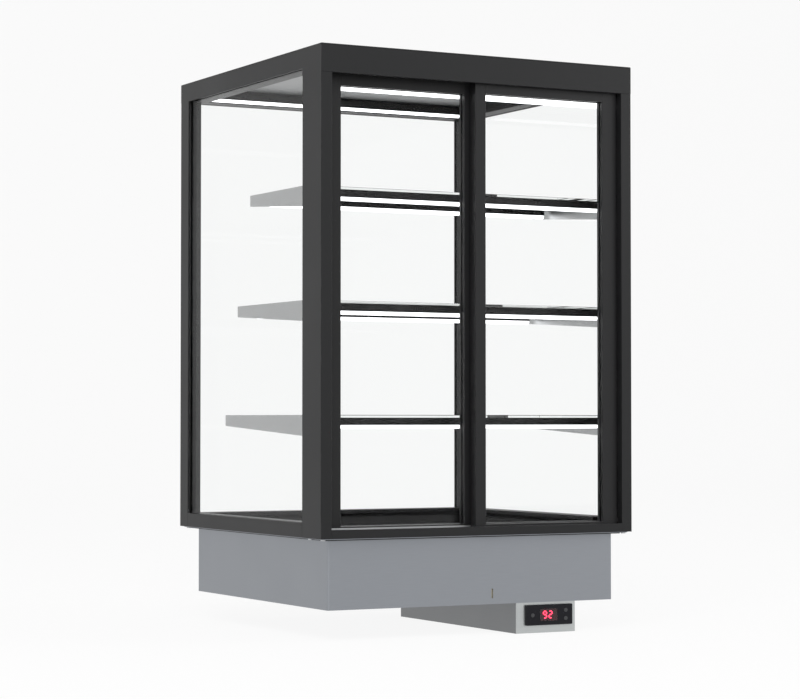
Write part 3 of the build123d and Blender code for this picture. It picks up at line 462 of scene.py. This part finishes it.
gland_profile = [(0.0, 0.0), (0.0, thread_root)]
for turn in range(thread_turns):
    gland_profile += [
        ((turn + 0.5) * thread_pitch, thread_radius),
        ((turn + 1.0) * thread_pitch, thread_root),
    ]
gland_profile += [(dome_start, thread_root), (dome_start, rib_radius - rib_height)]
gland_profile += [(dome_start + rib_length, rib_radius - rib_height), *dome_rounding]
gland_profile += [(gland_length, 0.0)]

bpy.ops.object.select_all(action="DESELECT")
bpy.ops.mesh.primitive_circle_add(
    vertices=len(gland_profile), radius=thread_radius, location=(0, 0, 0)
)
gland = bpy.context.object
gland.name = "gland"
for corner, (along, radius) in zip(gland.data.vertices, gland_profile):
    corner.co = (gland_axis.x + radius, gland_low.y + along, gland_axis.z)
bpy.ops.object.mode_set(mode="EDIT")
bpy.ops.mesh.select_all(action="SELECT")
bpy.ops.mesh.spin(
    steps=gland_sides, angle=2 * math.pi, center=(gland_axis.x, 0, gland_axis.z), axis=(0, 1, 0)
)
bpy.ops.mesh.select_all(action="SELECT")
bpy.ops.mesh.remove_doubles(threshold=0.00001)
bpy.ops.mesh.delete_loose(use_verts=True, use_edges=True, use_faces=False)
bpy.ops.mesh.select_all(action="SELECT")
bpy.ops.mesh.normals_make_consistent(inside=False)
bpy.ops.mesh.select_all(action="DESELECT")
bpy.ops.object.mode_set(mode="OBJECT")
rib_middle = gland_low.y + dome_start + rib_length / 2
for face in gland.data.polygons:
    around = math.atan2(face.center.z - gland_axis.z, face.center.x - gland_axis.x)
    step = int(around / (2 * math.pi) * gland_sides + gland_sides)
    on_grip = abs(face.center.y - rib_middle) < rib_length / 4
    face.select = on_grip and step % 2 == 0
bpy.ops.object.mode_set(mode="EDIT")
bpy.ops.mesh.select_mode(type="FACE")
bpy.ops.mesh.extrude_faces_move(TRANSFORM_OT_shrink_fatten={"value": rib_height})
bpy.ops.object.mode_set(mode="OBJECT")

for start in hexagon_starts:
    hexagon = gland_rod(6, hexagon_radius, start, hexagon_length, turn=math.pi / 6)
    bpy.ops.object.mode_set(mode="EDIT")
    bpy.ops.mesh.select_all(action="SELECT")
    bpy.ops.mesh.bevel(offset=hexagon_chamfer, segments=2, affect="EDGES")
    bpy.ops.object.mode_set(mode="OBJECT")
    combine_with_gland("UNION", hexagon)
bore = gland_rod(gland_sides, bore_radius, -thread_pitch, gland_length + 2 * thread_pitch)
combine_with_gland("DIFFERENCE", bore)
bpy.ops.object.shade_smooth_by_angle(angle=smooth_angle)

gland_nylon = Finish("gland_nylon", (0.015, 0.015, 0.016))
gland_nylon.cloud(0.42, 0.58, per_metre=1200.0)
gland_nylon.relief(gland_nylon.noise(per_metre=1200.0), depth=0.00003)
gland.data.materials.append(gland_nylon.material)
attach(gland, "case")
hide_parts("cable_gland")


# Studio sweep: a broad sheet of pale paper under the case that rises in a curve behind it.
# It shows almost white, and keeps a little of the case's shadow.
def shown_rays(shading):
    """1 for rays that show a thing directly, in gloss or through glass, and 0 for others."""
    kinds = ("Is Camera Ray", "Is Glossy Ray", "Is Transmission Ray")
    rays = shading.node("ShaderNodeLightPath").socket.node.outputs
    directly, in_gloss, through_glass = (Level(shading, rays[kind]) for kind in kinds)
    return directly.either(in_gloss).either(through_glass)


sweep_radius = 2.5
sweep_reach = 9.0
sweep_half_width = 27.0
sweep_height = 14.0
sweep_steps = 24
white_share = 0.9
floor_level = case_low.z
sweep_profile = [(-sweep_reach, floor_level)]
for step in range(sweep_steps + 1):
    turn = math.pi / 2 * step / sweep_steps
    reach = sweep_reach - sweep_radius + sweep_radius * math.sin(turn)
    sweep_profile.append((reach, floor_level + sweep_radius * (1 - math.cos(turn))))
sweep_profile.append((sweep_reach, floor_level + sweep_height))
sweep_corners = []
for along, up in sweep_profile:
    sweep_corners += [(-sweep_half_width, along, up), (sweep_half_width, along, up)]
sweep_faces = []
for left in range(0, len(sweep_corners) - 2, 2):
    sweep_faces.append((left, left + 1, left + 3, left + 2))

bpy.ops.object.select_all(action="DESELECT")
bpy.ops.mesh.primitive_plane_add(size=1.0, location=(0, 0, 0))
sweep = bpy.context.object
sweep.name = "studio_sweep"
sweep.data.clear_geometry()
sweep.data.from_pydata(sweep_corners, [], sweep_faces)
sweep.data.shade_smooth()

paper = Finish("studio_paper", (0.9, 0.9, 0.9), 1.0, Specular_IOR_Level=0.0)
paper_matt = Level(paper, paper.shader.outputs["BSDF"])
paper_white = paper.node("ShaderNodeEmission")
paper_sockets = {0: shown_rays(paper) * white_share, 1: paper_matt, 2: paper_white}
paper_mix = paper.node("ShaderNodeMixShader", inputs=paper_sockets)
paper.tree.links.new(paper_mix.socket, paper.tree.nodes["Material Output"].inputs["Surface"])
sweep.data.materials.append(paper.material)


# Studio surround: an even white all round, which lights the case at a little over half the
# level at which it shows.
surround_light = 0.55
surround_shown = 1.0
world = bpy.data.worlds.new("studio_surround")
surround = Shading(world, "Background")
surround.set("Color", (1.0, 1.0, 1.0, 1.0))
surround_lift = shown_rays(surround) * (surround_shown - surround_light)
surround.set("Strength", surround_light + surround_lift)
bpy.context.scene.world = world


# Studio lamps: one broad soft lamp to the front left of the case, and a weaker one at the
# right that opens the shadows.
def aim(thing, at):
    """Turns a lamp or the camera to look at a point."""
    thing.rotation_euler = (at - thing.location).to_track_quat("-Z", "Y").to_euler()


case_middle = Vector((0.0, 0.0, (case_low.z + case_high.z) / 2))
studio_lamps = (
    ("studio_key", (-2.6, -3.4, 3.2), 2.6, 130.0),
    ("studio_fill", (3.4, -2.2, 1.8), 2.4, 45.0),
)
for lamp_name, lamp_place, lamp_width, lamp_power in studio_lamps:
    lamp = bpy.data.lights.new(lamp_name, "AREA")
    lamp.shape = "SQUARE"
    lamp.size = lamp_width
    lamp.energy = lamp_power
    lamp_object = bpy.data.objects.new(lamp_name, lamp)
    bpy.context.scene.collection.objects.link(lamp_object)
    lamp_object.location = lamp_place
    aim(lamp_object, case_middle)


# Camera: it stands before the sliding doors, well to the left and level with the lower part
# of the case, and looks at the case's middle.
camera_place = (-2.0509, -3.8388, 0.1969)
camera_lens = 110.0
camera_sensor = 36.0
camera = bpy.data.cameras.new("operator_camera")
camera.lens = camera_lens
camera.sensor_width = camera_sensor
camera_object = bpy.data.objects.new("operator_camera", camera)
bpy.context.scene.collection.objects.link(camera_object)
camera_object.location = camera_place
aim(camera_object, case_middle)
bpy.context.scene.camera = camera_object
bpy.context.scene.view_settings.view_transform = "Standard"
